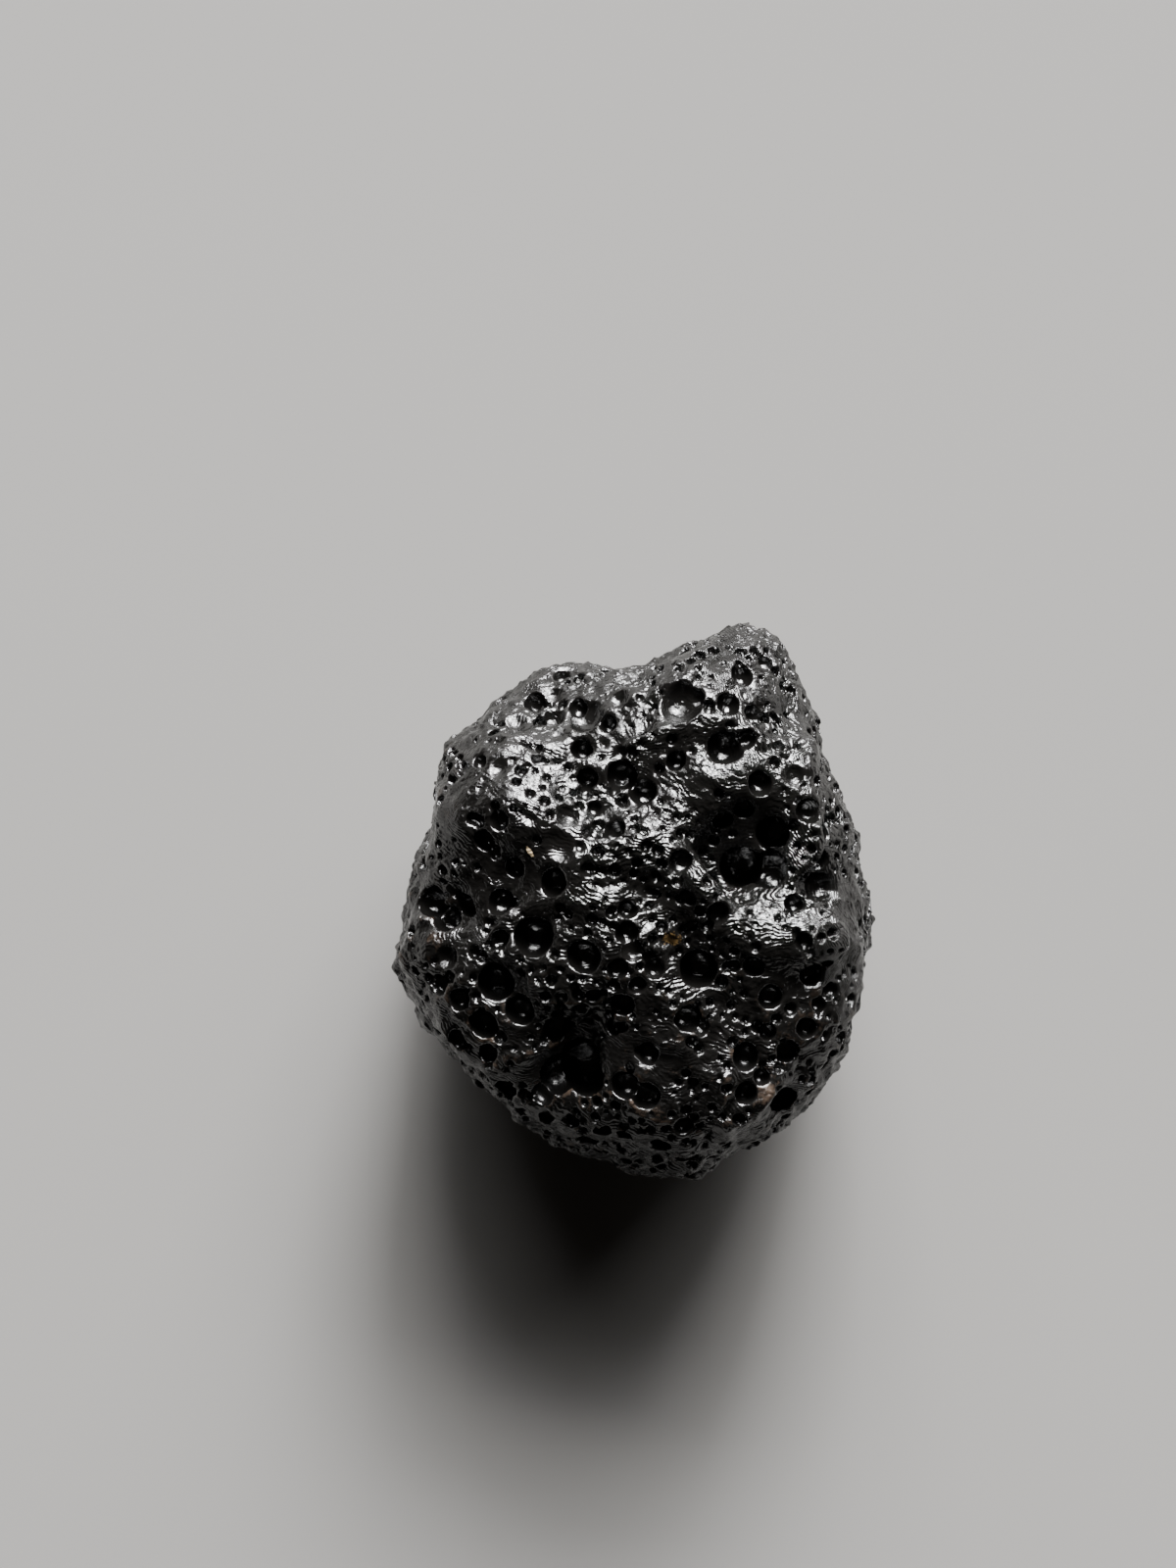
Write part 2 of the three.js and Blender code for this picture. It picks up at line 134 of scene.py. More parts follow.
# Ridges of the upper side: half-width, height, then the crest's points
RIDGES = [
    (0.85, 0.4, [(1.6, 0.5), (2.2, -0.45), (3.2, -0.85), (4.5, -0.9)]),
    (0.9, 0.2, [(0.1, 1.2), (0.9, 0.9), (1.6, 0.3)]),
    (1.1, 0.2, [(-3.6, 1.9), (-1.6, 1.45), (0.2, 1.35), (1.0, 1.0)]),
    (0.5, 0.36, [(4.2, -4.15), (3.2, -4.3), (2.75, -4.75), (2.2, -5.05), (1.95, -6.1)]),
    (0.38, 0.1, [(2.3, -3.4), (2.15, -4.0), (1.95, -4.7)]),
    (0.38, 0.06, [(0.5, -3.2), (1.2, -3.55), (1.6, -3.95), (2.1, -4.0)]),
    (0.4, 0.22, [(-3.4, -3.9), (-2.8, -3.8), (-2.3, -3.75)]),
    (0.4, 0.2, [(0.0, 3.85), (0.7, 4.08), (2.4, 4.1), (3.0, 3.8)]),
    (0.55, 0.3, [(4.0, 4.6), (4.0, 3.2), (3.9, 1.9), (4.0, 0.9)]),
    (0.4, 0.2, [(-5.2, -2.2), (-4.4, -2.9), (-3.9, -3.7)]),
    (0.14, -0.2, [(-2.7, 3.82), (-2.3, 3.75), (-1.87, 3.63)]),
    (0.22, 0.14, [(-0.2, 5.0), (0.5, 5.1), (1.2, 5.12), (1.75, 5.5), (2.2, 6.1)]),
]

# Slow waves that keep the stone lumpy all round: direction in radians per mm, phase, height
SWELLS = [
    ((1.1, 0.7, -0.5), 0.4, 0.14),
    ((-0.6, 1.3, 0.9), 2.1, 0.13),
    ((0.9, -1.2, 1.4), 4.0, 0.1),
    ((2.3, 1.6, 1.1), 1.2, 0.06),
    ((-1.9, 2.4, -1.7), 5.2, 0.05),
]

# Burst bubbles of the upper side as x, y and mouth radius, by the part of the stone they are in.
# A fourth value is how far the ball's middle stands above the skin, as a share of the mouth radius.
PITS = {
    "caves": [
        (-1.25, -3.75, 0.62, -0.8), (-1.72, -4.0, 0.5, -0.6), (-1.1, -4.05, 0.48, -0.6),
        (-1.72, -2.95, 0.4, -0.3), (2.5, 0.8, 0.52, -0.8), (3.25, 0.75, 0.5, -0.8), (3.3, 1.6, 0.46, -0.7),
        (2.15, 3.6, 0.42, -0.6), (-3.2, -1.85, 0.46, -0.5),
    ],
    "upper left": [
        (-2.33, 4.69, 0.26), (-1.9, 4.82, 0.23, 0.3), (-1.12, 4.33, 0.48, 0.35), (-1.89, 4.29, 0.29, 0.3),
        (-2.76, 4.17, 0.32, 0.7), (-0.34, 4.68, 0.24, 0.35), (-0.59, 4.13, 0.21), (-1.21, 3.56, 0.26),
        (-1.78, 3.84, 0.26, 0.9), (-3.13, 3.12, 0.28, 0.5), (-3.99, 3.11, 0.19), (-3.17, 1.83, 0.23),
        (-3.49, 1.38, 0.26), (-1.48, 1.99, 0.29, 0.35), (-2.42, 1.93, 0.19, 0.6), (-0.96, 1.63, 0.23),
        (-0.5, 1.7, 0.29), (-0.27, 2.95, 0.34), (0.22, 2.56, 0.33), (-1.7, 1.3, 0.45, 0.7),
        (-1.08, 2.88, 0.26), (-1.35, 4.57, 0.2), (-3.29, 3.9, 0.13), (-3.03, 3.8, 0.09), (-1.71, 5.3, 0.2),
        (-0.68, 3.67, 0.11), (-0.34, 3.48, 0.165), (0.14, 4.7, 0.09), (-3.61, 3.27, 0.16),
        (-4.31, 2.82, 0.16), (-3.26, 2.2, 0.14), (-2.81, 2.11, 0.1), (-3.26, 1.08, 0.15),
        (-3.79, 1.88, 0.15), (-2.23, 3.3, 0.14), (-2.47, 3.18, 0.08), (-2.08, 3.07, 0.07),
        (-2.75, 2.75, 0.12), (-2.4, 2.5, 0.1), (-1.12, 2.53, 0.17), (-0.89, 2.2, 0.16), (-0.18, 2.25, 0.1),
        (0.07, 1.67, 0.1), (-1.25, 1.29, 0.12),
    ],
    "upper right": [
        (1.12, 4.62, 0.53, 0.25), (2.56, 5.25, 0.27), (3.04, 5.36, 0.17), (2.24, 4.6, 0.28),
        (2.86, 4.34, 0.25), (2.67, 3.77, 0.23), (0.98, 3.27, 0.25), (3.0, 2.72, 0.31), (2.58, 2.11, 0.25),
        (2.08, 1.85, 0.26), (1.12, 0.97, 0.26), (4.25, 2.1, 0.3), (4.47, 1.61, 0.21), (4.42, 0.95, 0.28),
        (1.46, 4.72, 0.2), (1.78, 4.41, 0.12), (2.93, 6.12, 0.2, 0.0), (2.97, 5.82, 0.14, 0.0),
        (0.91, 3.74, 0.14), (2.26, 4.06, 0.12), (4.26, 3.97, 0.15), (3.74, 3.75, 0.09),
        (3.33, 4.29, 0.12), (3.33, 3.88, 0.12),
        (0.59, 3.09, 0.14), (1.35, 3.46, 0.1), (2.7, 2.45, 0.09), (1.87, 1.38, 0.14), (1.1, 1.63, 0.09),
        (4.17, 2.95, 0.09), (4.26, 2.57, 0.08), (3.87, 2.34, 0.1), (3.8, 2.89, 0.25, 0.4),
        (3.55, 3.35, 0.12),
    ],
    "middle": [
        (-4.8, 0.0, 0.35), (-4.38, -0.37, 0.33), (-4.42, -1.29, 0.31, 0.2), (-4.61, -1.95, 0.24),
        (-3.93, -0.1, 0.25), (-3.15, 0.0, 0.34), (-2.78, 0.78, 0.25), (-3.17, -0.87, 0.25),
        (-1.89, 0.47, 0.34), (-0.11, -0.14, 0.23), (-2.33, -0.8, 0.47), (-1.17, -1.28, 0.42),
        (0.02, -1.15, 0.23), (-0.36, -1.58, 0.25), (0.09, -1.97, 0.21), (-0.12, -0.72, 0.25),
        (1.28, 0.08, 0.21), (1.99, -0.3, 0.28), (0.52, -1.55, 0.25), (1.52, -1.52, 0.45), (2.8, -1.5, 0.26),
        (3.78, -0.03, 0.24), (4.38, 0.33, 0.38, 0.15), (4.0, -0.95, 0.19), (4.2, -1.7, 0.28),
        (4.72, -2.06, 0.2), (-3.75, -1.17, 0.16), (-3.4, -0.46, 0.12), (-1.05, 0.75, 0.18),
        (-0.73, 0.66, 0.1), (-0.77, 0.34, 0.08), (-0.5, -0.23, 0.16), (-1.73, -0.19, 0.15),
        (0.5, 0.5, 0.12), (0.33, 0.22, 0.12), (0.8, 0.09, 0.1), (1.33, -0.55, 0.15), (2.76, -0.27, 0.12),
        (2.84, -1.08, 0.12), (2.35, -1.45, 0.15), (3.8, -0.69, 0.1), (4.86, -1.77, 0.1), (5.22, 0.02, 0.07),
        (4.56, -0.6, 0.07),
    ],
    "lower": [
        (-3.5, -2.88, 0.34), (-2.68, -2.53, 0.34), (-4.13, -2.3, 0.26), (-3.42, -3.5, 0.24),
        (-4.17, -3.25, 0.25), (-3.5, -4.13, 0.23), (-3.05, -4.4, 0.27), (-2.15, -4.5, 0.27),
        (-0.27, -2.39, 0.28), (1.3, -2.7, 0.32), (-0.22, -4.27, 0.32), (0.37, -3.52, 0.26),
        (0.3, -4.52, 0.32), (2.65, -3.58, 0.35), (3.22, -2.2, 0.28), (4.08, -2.95, 0.26),
        (3.17, -3.02, 0.21), (3.63, -3.5, 0.29), (2.62, -4.42, 0.28), (3.03, -4.05, 0.22),
        (3.55, -4.6, 0.38), (5.15, -2.28, 0.17), (1.6, -2.9, 0.23), (-0.72, -5.35, 0.22),
        (-1.12, -5.75, 0.29), (-0.2, -5.47, 0.2), (0.63, -5.68, 0.25), (1.2, -5.25, 0.22),
        (2.77, -5.08, 0.18), (-1.45, -5.12, 0.2), (-4.95, -2.35, 0.12), (-2.55, -4.5, 0.18),
        (-2.1, -5.1, 0.17), (-1.22, -2.51, 0.16), (-0.48, -2.9, 0.18), (0.16, -3.5, 0.14),
        (-0.1, -3.85, 0.12), (-1.3, -2.2, 0.16), (-1.7, -2.25, 0.16), (-0.95, -2.2, 0.18),
        (1.55, -3.42, 0.13), (1.35, -3.25, 0.15), (1.39, -4.18, 0.12), (3.7, -2.5, 0.16),
        (4.37, -2.4, 0.18), (4.63, -2.14, 0.16), (4.53, -3.13, 0.12), (3.94, -3.9, 0.12),
        (4.15, -3.75, 0.14), (4.5, -3.85, 0.12), (-1.55, -5.82, 0.1), (-0.42, -5.76, 0.13),
        (-0.63, -5.98, 0.1), (0.25, -5.3, 0.11), (0.18, -6.3, 0.12), (0.6, -6.07, 0.16), (0.75, -6.3, 0.12),
        (1.2, -5.6, 0.11), (2.4, -5.6, 0.08), (2.85, -5.7, 0.1), (2.7, -4.83, 0.1), (1.55, -5.65, 0.08),
        (1.78, -5.83, 0.07),
    ],
}
# The other pits' middles lie between these two shares under the skin, so their lips overhang
PIT_SUNK_LEAST = 0.5
PIT_SUNK_MOST = 0.9
# A pit's black hole is narrower than its mouth, and a worn collar round it is wider, as shares of the mouth
HOLE_SHARE = 0.85
COLLAR_BREADTH = 1.3
COLLAR_DEPTH = 0.38
COLLAR_LEAST_MOUTH = 0.12
# Breadth of the patches in mm that the small craters are in, and their depth as a share of their radius
CRATER_PATCH = 1.3
CRATER_DEPTH = 0.55

# Burst bubbles all over the sides and the back, spread by turns of the golden angle
SCATTER = 88
GOLDEN_ANGLE = math.pi * (3 - math.sqrt(5))
SCATTER_TOP = 0.22
SCATTER_BOTTOM = -0.8
SCATTER_SMALLEST = 0.16
SCATTER_LARGEST = 0.52
# How far they stray in height and in turn, and which number starts each row of repeatable fractions
STRAY_HEIGHT = 0.08
STRAY_TURN = 0.5
HEIGHT_SEED = 1
TURN_SEED = 301
SIZE_SEED = 601
DEPTH_SEED = 901

# Rounds of the search for the skin under a place, and the step over which the skin's slope is taken
AIM_ROUNDS = 8
SLOPE_STEP = 0.04
# Smooth noise: how fast its finer layers fade, and how much finer each one is than the last
NOISE_FADE = 0.9
NOISE_STEP = 2.1
# Breadth of the rounded border of the worn flat, in mm
FLAT_BORDER = 0.15

# Two layers of noise push the pits out of round: how far and how broad, in mm
WARPS = [(0.05, 0.8), (0.025, 0.25)]
# Least gap between two balls of one cutter, in mm
CUTTER_GAP = 0.01
# How finely the balls of the named and of the fine bubbles are divided
NAMED_FACETS = 4
FINE_FACETS = 3

# Fine bubbles: the most to an area, how far their middles stand above the skin as a share of their radius,
# and the least height in mm that they have
FINE_DENSITY = 40.0
FINE_LIFT = -0.45
FINE_LOWEST = 0.4
# Scale of the noise that gathers them, and the least of it where they are
CLUSTER_SCALE = 0.7
CLUSTER_LEAST = 0.47
# A named pit takes the skin round it, from 1 at its middle to 0 at this many mouths from it. Fine bubbles
# come only where less than TAKEN_MOST is taken.
TAKEN_BREADTH = 1.5
TAKEN_MOST = 0.4

# The smooth wall of a pit ends WALL_START times this breadth in mm from its ball. It is weaker in open pits.
WALL_BREADTH = 0.06
WALL_START = 1.6
WALL_SUNK = 1.0
WALL_OPEN = 0.7
# Rounds of smoothing against which a crest stands out
CREST_ROUNDS = 16

# What the material adds to the mesh, as heights in mm: all of it is finer than the mesh's edges
LUMP_BUMP = 0.05
FINE_BUMP = 0.012
CRINKLE_BUMP = 0.032
STREAK_BUMP = 0.013
SIDE_STREAK_BUMP = 0.014
TINY_PIT_BUMP = 0.02
# The glass flowed in folds: the scale and reach in mm of the noise that bends its lines, from broad to fine
FLOW_FOLDS = [(0.5, 1.8), (1.7, 0.45), (6.0, 0.07)]
# Flow lines in radians per mm, and their directions on the left and on the right of the stone
FLOW_LINES = 60.0
FLOW_LEFT = (0.2, 0.7, 0.7)
FLOW_RIGHT = (0.9, 0.3, 0.45)
# How much smoother than the rest the walls of pits and the lower half of the upper side are
WALL_CALM = 0.8
LOWER_CALM = 0.35
SPECK_COLOUR = (0.5, 0.3, 0.1, 1.0)

# Places of the sockets of the nodes that have several of one name
RANDOM_VECTOR_MOST = 1
RANDOM_FLOAT = 1
MIX_FIRST = 6
MIX_SECOND = 7
MIX_RESULT = 2

FLOOR_HALF = 3.0
FLOOR_ROUGHNESS = 0.8
ROOM_COLOUR = (1.0, 0.9, 0.8, 1.0)
ROOM_STRENGTH = 0.03
SENSOR_WIDTH = 36.0
NEAREST_SEEN = 0.01
FARTHEST_SEEN = 20.0

# The key light's direction, and its nested panels from dim to bright: name, size in m, share of the power and
# distance in m
KEY_DIRECTION = (0.14, 0.79, 0.44)
KEY_PANELS = [
    ("wide panel", (1.4, 0.8), 0.28, 0.96),
    ("key panel", (0.64, 0.56), 0.48, 0.92),
    ("bright panel", (0.26, 0.22), 0.24, 0.88),
]


def in_mm(name, meaning, size):
    return bpy.props.FloatProperty(name=name, description=meaning + ", in mm", default=size)


def count_of(name, meaning, number):
    return bpy.props.IntProperty(name=name, description=meaning, default=number)


def colour_of(name, meaning, red, green, blue):
    return bpy.props.FloatVectorProperty(
        name=name, description="Colour of " + meaning, subtype="COLOR", size=4,
        default=(red, green, blue, 1.0)
    )


class StoneSettings(bpy.types.PropertyGroup):
    """Sizes and colours of the stone. Its lengths are in millimetres."""

    fineness: bpy.props.IntProperty(
        name="Fineness", description="Subdivisions of the ball that the skin starts from",
        default=8, min=4, max=9
    )
    voxel: bpy.props.FloatProperty(
        name="Voxel", description="Grain of the joined skin and pits, in mm", default=0.046, min=0.02
    )
    triangles: count_of("Triangles", "Triangles left in the finished stone", 190000)
    lump_height: in_mm("Lump height", "Height of the small lumps between the pits", 0.09)
    lump_size: in_mm("Lump size", "Breadth of the small lumps", 0.9)
    crag_height: in_mm("Crag height", "Depth of the small hollows between sharp little crests", 0.06)
    crag_size: in_mm("Crag size", "Breadth of the small hollows", 0.45)
    bump_height: in_mm("Rim bump height", "Height of the little bumps along the rim", 0.13)
    bump_size: in_mm("Rim bump size", "Breadth of the little bumps along the rim", 0.4)
    dimples: count_of("Dimples", "Number of shallow dimples between the pits", 3600)
    dimple_smallest: in_mm("Smallest dimple", "Radius of the smallest dimples", 0.12)
    dimple_largest: in_mm("Largest dimple", "Radius of the largest dimples", 0.4)
    dimple_depth: bpy.props.FloatProperty(
        name="Dimple depth", description="Depth of the deepest dimples, as a share of their radius",
        default=0.25
    )
    craters: count_of("Craters", "Number of small craters tried, some of which are left out", 4500)
    crater_smallest: in_mm("Smallest crater", "Radius of the smallest craters", 0.08)
    crater_largest: in_mm("Largest crater", "Radius of the largest craters", 0.22)
    fine_spacing: in_mm("Fine bubble spacing", "Least distance between the fine bubbles", 0.26)
    fine_smallest: in_mm("Smallest fine bubble", "Radius of the smallest of the fine bubbles", 0.07)
    fine_largest: in_mm("Largest fine bubble", "Radius of the largest of the fine bubbles", 0.17)
    seed: count_of("Seed", "Seed of the dimples, the craters and the fine bubbles", 4)
    glass: colour_of("Glass", "the black glass", 0.003, 0.0028, 0.0026)
    # Brown for the lower and left crests: partly a clay film, partly a painted reflection of brown
    # surroundings
    clay_and_painted_reflection: colour_of("Clay", "the clay film on the lower ridges", 0.11, 0.07, 0.045)
    grain: colour_of("Grain", "the pale grain stuck to the stone", 0.75, 0.58, 0.36)


class StageSettings(bpy.types.PropertyGroup):
    """The floor, the light and the camera."""

    floor: colour_of("Floor", "the floor", 0.145, 0.141, 0.135)
    key_power: bpy.props.FloatProperty(
        name="Key light", description="Power of the key light's panels together", default=94.0, unit="POWER"
    )
    distance: bpy.props.FloatProperty(
        name="Camera distance", description="From the camera to the rim's level", default=0.25, unit="LENGTH"
    )


def fraction(number):
    """A repeatable fraction from 0 to 1 for a number."""
    wave = math.sin(number * 12.9898) * 43758.5453
    return wave - math.floor(wave)


def rim_polar():
    """Rim points scaled to the stone's width and length, as angles and radii in order of angle."""
    points = np.array(RIM)
    low, high = points.min(0), points.max(0)
    points = (points - (low + high) / 2) * (np.array([WIDTH, LENGTH]) / (high - low))
    angles = np.arctan2(points[:, 1], points[:, 0])
    order = np.argsort(angles)
    return angles[order], np.hypot(points[:, 0], points[:, 1])[order]


RIM_ANGLES, RIM_RADII = rim_polar()


def rim_average(angle, stretch):
    """Rim radius averaged over a stretch on each side of an angle."""
    steps = (-1, -0.5, 0, 0.5, 1)
    radii = [np.interp(angle + s * stretch, RIM_ANGLES, RIM_RADII, period=math.tau) for s in steps]
    return sum(radii) / len(steps)


def rim_share(directions):
    """How close a direction is to the rim's own level: 1 on it, 0 well above or below."""
    return np.exp(-((directions[:, 2] / RIM_FADE) ** 2))


def body_points(directions):
    """Points of the smooth body along directions from the centre."""
    flat = np.hypot(directions[:, 0], directions[:, 1])
    steep = np.abs(directions[:, 2])
    angle = np.arctan2(directions[:, 1], directions[:, 0])
    share = rim_share(directions)
    rim = rim_average(angle, RIM_ROUND) * (1 - share) + rim_average(angle, RIM_SHARP) * share
    front = directions[:, 2] > 0
    height = np.where(front, FRONT_RISE, BACK_DROP)
    power = np.where(front, FRONT_POWER, BACK_POWER)
    radius = ((flat / rim) ** power + (steep / height) ** power) ** (-1 / power)
    return CENTRE + directions * radius[:, None]


def lifted(places):
    """The smooth body's points above places of the upper side."""
    places = np.asarray(places, float)[:, :2]
    rim = rim_average(np.arctan2(places[:, 1], places[:, 0]), RIM_ROUND)
    share = np.minimum(1, np.hypot(places[:, 0], places[:, 1]) / rim)
    rise = FRONT_RISE * (1 - share**FRONT_POWER) ** (1 / FRONT_POWER)
    return np.column_stack([places, RIM_HEIGHT + rise])


def bell(distance, reach, height, edge=2):
    """Height of a form that is full at its middle and flat at its reach."""
    share = np.minimum(1, distance / reach)
    return height * (1 - share**edge) ** 2


def distance_to_line(points, start, end):
    """Distance from points to a straight line between two points."""
    along = end - start
    share = np.clip((points - start) @ along / (along @ along), 0, 1)
    return np.linalg.norm(points - start - share[:, None] * along, axis=1)


def relief(points):
    """How far the skin stands out of the smooth body at points of it."""
    height = np.zeros(len(points))
    for form, place in zip(FORMS, lifted(FORMS)):
        height += bell(np.linalg.norm(points - place, axis=1), form[2], form[3], form[4])
    for reach, rise, crest in RIDGES:
        line = lifted(crest)
        near = np.min([distance_to_line(points, a, b) for a, b in zip(line, line[1:])], axis=0)
        height += bell(near, reach, rise)
    for along, phase, rise in SWELLS:
        height += rise * np.sin(points @ np.array(along) + phase)
    return height


def skin_points(directions):
    """Points of the skin: the relief is full away from the rim, which keeps its own outline."""
    points = body_points(directions)
    return points + directions * (relief(points) * (1 - rim_share(directions)))[:, None]


def unit(vectors):
    return vectors / np.linalg.norm(vectors, axis=1)[:, None]


def directions_above(places):
    """Directions from the centre in which the skin is seen from above at given places."""
    places = np.asarray(places, float)[:, :2]
    directions = unit(lifted(places) - CENTRE)
    for _ in range(AIM_ROUNDS):
        points = skin_points(directions)
        far = np.linalg.norm(points - CENTRE, axis=1)
        directions[:, :2] += (places - points[:, :2]) / far[:, None]
        directions = unit(directions)
    return directions


def skin_normals(directions):
    """Outward directions of the skin, taken over about a pit's width."""
    aside = unit(np.cross(directions[:, [2, 0, 1]], directions))
    across = np.cross(directions, aside)
    here = skin_points(directions)
    one = skin_points(unit(directions + SLOPE_STEP * aside)) - here
    two = skin_points(unit(directions + SLOPE_STEP * across)) - here
    normals = unit(np.cross(one, two))
    return normals * np.sign(np.sum(normals * directions, axis=1))[:, None]


def list_bubbles():
    """The directions, mouth radii and heights above the skin, as shares of the mouth, of all bubbles."""
    aims, mouths, above = [], [], []
    pits = [pit for group in PITS.values() for pit in group]
    for number, pit in enumerate(pits):
        sunk = PIT_SUNK_LEAST + (PIT_SUNK_MOST - PIT_SUNK_LEAST) * fraction(number + DEPTH_SEED)
        mouths.append(pit[2])
        above.append(pit[3] if len(pit) > 3 else -sunk)
    for i in range(SCATTER):
        z = 1 - 2 * (i + 0.5) / SCATTER + STRAY_HEIGHT * (fraction(i + HEIGHT_SEED) - 0.5)
        if SCATTER_BOTTOM < z < SCATTER_TOP:
            turn = i * GOLDEN_ANGLE + STRAY_TURN * (fraction(i + TURN_SEED) - 0.5)
            flat = math.sqrt(1 - z * z)
            aims.append((flat * math.cos(turn), flat * math.sin(turn), z))
            share = fraction(i + SIZE_SEED) ** 3
            mouths.append(SCATTER_SMALLEST + (SCATTER_LARGEST - SCATTER_SMALLEST) * share)
            above.append(-PIT_SUNK_LEAST)
    places = [pit[:2] for pit in pits]
    return np.vstack([directions_above(places), np.array(aims)]), np.array(mouths), np.array(above)


def new_piece(name, mesh):
    piece = bpy.data.objects.new(name, mesh)
    bpy.context.scene.collection.objects.link(piece)
    return piece


def remove_piece(piece):
    mesh = piece.data
    bpy.data.objects.remove(piece)
    bpy.data.meshes.remove(mesh)


def bake_modifiers(piece):
    """Turns what the modifiers make into the piece's plain mesh."""
    graph = bpy.context.evaluated_depsgraph_get()
    mesh = bpy.data.meshes.new_from_object(piece.evaluated_get(graph))
    piece.modifiers.clear()
    old = piece.data
    piece.data = mesh
    bpy.data.meshes.remove(old)


def read_vectors(mesh, name):
    """One vector for each vertex: its place under the name co, its outward direction under normal."""
    flat = np.empty(len(mesh.vertices) * 3, np.float32)
    mesh.vertices.foreach_get(name, flat)
    return flat.reshape(-1, 3).astype(float)


def write_points(mesh, points):
    mesh.vertices.foreach_set("co", points.astype(np.float32).ravel())
    mesh.update()


def store_number(mesh, name, numbers):
    """Stores one number for each vertex in a named attribute."""
    mesh.attributes.new(name, "FLOAT", "POINT").data.foreach_set("value", numbers.astype(np.float32))


def read_edges(mesh):
    flat = np.empty(len(mesh.edges) * 2, np.int32)
    mesh.edges.foreach_get("vertices", flat)
    return flat.reshape(-1, 2)


def noise_at(points, size, octaves):
    """Smooth noise of about -1 to 1 at points, with lumps of the given size."""
    return np.array([noise.fractal(Vector(p), NOISE_FADE, NOISE_STEP, octaves) for p in points / size])


def shifts_at(points, size):
    """Smooth noise vectors at points."""
    return np.array([noise.noise_vector(Vector(p)) for p in points / size])


def scallop(points, places, radii, depths):
    """How deep shallow dimples lie in the skin at each point. Where they meet, a sharp edge stays."""
    tree = KDTree(len(points))
    for i, point in enumerate(points):
        tree.insert(point, i)
    tree.balance()
    depth = np.zeros(len(points))
    for place, radius, deep in zip(places, radii, depths):
        found = tree.find_range(place, radius)
        near = np.array([item[1] for item in found], int)
        if len(near):
            share = np.array([item[2] for item in found]) / radius
            depth[near] = np.maximum(depth[near], deep * (1 - share * share))
    return depth


def worn_flat(points):
    """Presses what reaches below z = 0 up to it, with a rounded border."""
    z = points[:, 2]
    eased = np.where(z < -FLAT_BORDER, 0, (z + FLAT_BORDER) ** 2 / (4 * FLAT_BORDER))
    points[:, 2] = np.where(z > FLAT_BORDER, z, eased)
    return points


def mostly_small(chance, count, smallest, largest):
    """Random sizes between two limits, most of them near the smaller one."""
    return smallest + (largest - smallest) * chance.random(count) ** 2


def spread_hollows(settings, named, mouths, above):
    """Places, radii and depths of the dimples, the craters and the worn collars of the named pits."""
    chance = np.random.default_rng(settings.seed)
    dimples = skin_points(unit(chance.normal(size=(settings.dimples, 3))))
    radii = mostly_small(chance, settings.dimples, settings.dimple_smallest, settings.dimple_largest)
    depths = radii * settings.dimple_depth * chance.random(settings.dimples)
    craters = skin_points(unit(chance.normal(size=(settings.craters, 3))))
    gaps = np.linalg.norm(craters[:, None] - named, axis=2) - mouths * COLLAR_BREADTH
    craters = craters[(gaps.min(1) > 0) & (noise_at(craters, CRATER_PATCH, octaves=2) > 0)]
    crater_radii = mostly_small(chance, len(craters), settings.crater_smallest, settings.crater_largest)
    deep = (above < 0) & (mouths > COLLAR_LEAST_MOUTH)
    places = np.vstack([dimples, craters, named[deep]])
    radii = np.concatenate([radii, crater_radii, mouths[deep] * COLLAR_BREADTH])
    depths = np.concatenate([depths, crater_radii * CRATER_DEPTH, mouths[deep] * COLLAR_DEPTH])
    return places, radii, depths


def make_skin(settings):
    """The closed skin with forms, ridges, lumps, dimples and craters, before any pit is cut, in mm."""
    ball = bmesh.new()
    bmesh.ops.create_icosphere(ball, subdivisions=settings.fineness, radius=1)
    mesh = bpy.data.meshes.new("skin")
    ball.to_mesh(mesh)
    ball.free()
    directions = unit(read_vectors(mesh, "co"))
    points = skin_points(directions)
    lumps = settings.lump_height * noise_at(points, settings.lump_size, octaves=4)
    crags = settings.crag_height * np.abs(noise_at(points, settings.crag_size, octaves=3))
    bumps = settings.bump_height * noise_at(points, settings.bump_size, octaves=3) * rim_share(directions)
    points += directions * (lumps - crags + bumps)[:, None]

    aims, mouths, above = list_bubbles()
    named = skin_points(aims)
    places, radii, depths = spread_hollows(settings, named, mouths, above)
    points -= directions * scallop(points, places, radii, depths)[:, None]
    write_points(mesh, worn_flat(points))
    store_number(mesh, "taken", scallop(points, named, mouths * TAKEN_BREADTH, np.ones(len(mouths))))
    return new_piece("skin", mesh)


class TreeMaker:
    """Adds nodes to a tree: a node's type, its settings, then the values or links of its sockets."""

    def __init__(self, tree):
        self.tree = tree

    def node(self, kind, settings=None, sockets=None):
        made = self.tree.nodes.new(kind)
        for name, value in (settings or {}).items():
            setattr(made, name, value)
        for name, value in (sockets or {}).items():
            if isinstance(value, Value):
                value = value.socket
            if isinstance(value, bpy.types.NodeSocket):
                self.tree.links.new(value, made.inputs[name])
            else:
                made.inputs[name].default_value = value
        return made

    def value(self, kind, settings=None, sockets=None, output=0):
        return Value(self, self.node(kind, settings, sockets).outputs[output])


class Value:
    """A number socket that takes part in Python expressions: each operator adds its Math node."""

    def __init__(self, maker, socket):
        self.maker = maker
        self.socket = socket

    def math(self, operation, *others, clamp=False):
        sockets = dict(enumerate([self, *others]))
        return self.maker.value("ShaderNodeMath", {"operation": operation, "use_clamp": clamp}, sockets)

    def __add__(self, other):
        return self.math("ADD", other)

    def __sub__(self, other):
        return self.math("SUBTRACT", other)

    def __mul__(self, other):
        return self.math("MULTIPLY", other)

    def __truediv__(self, other):
        return self.math("DIVIDE", other)

    def __pow__(self, other):
        return self.math("POWER", other)

    def __neg__(self):
        return self.math("MULTIPLY", -1)

    def __rsub__(self, other):
        return -self + other

    def clamped(self):
        return self.math("ADD", 0, clamp=True)

    def sine(self):
        return self.math("SINE")


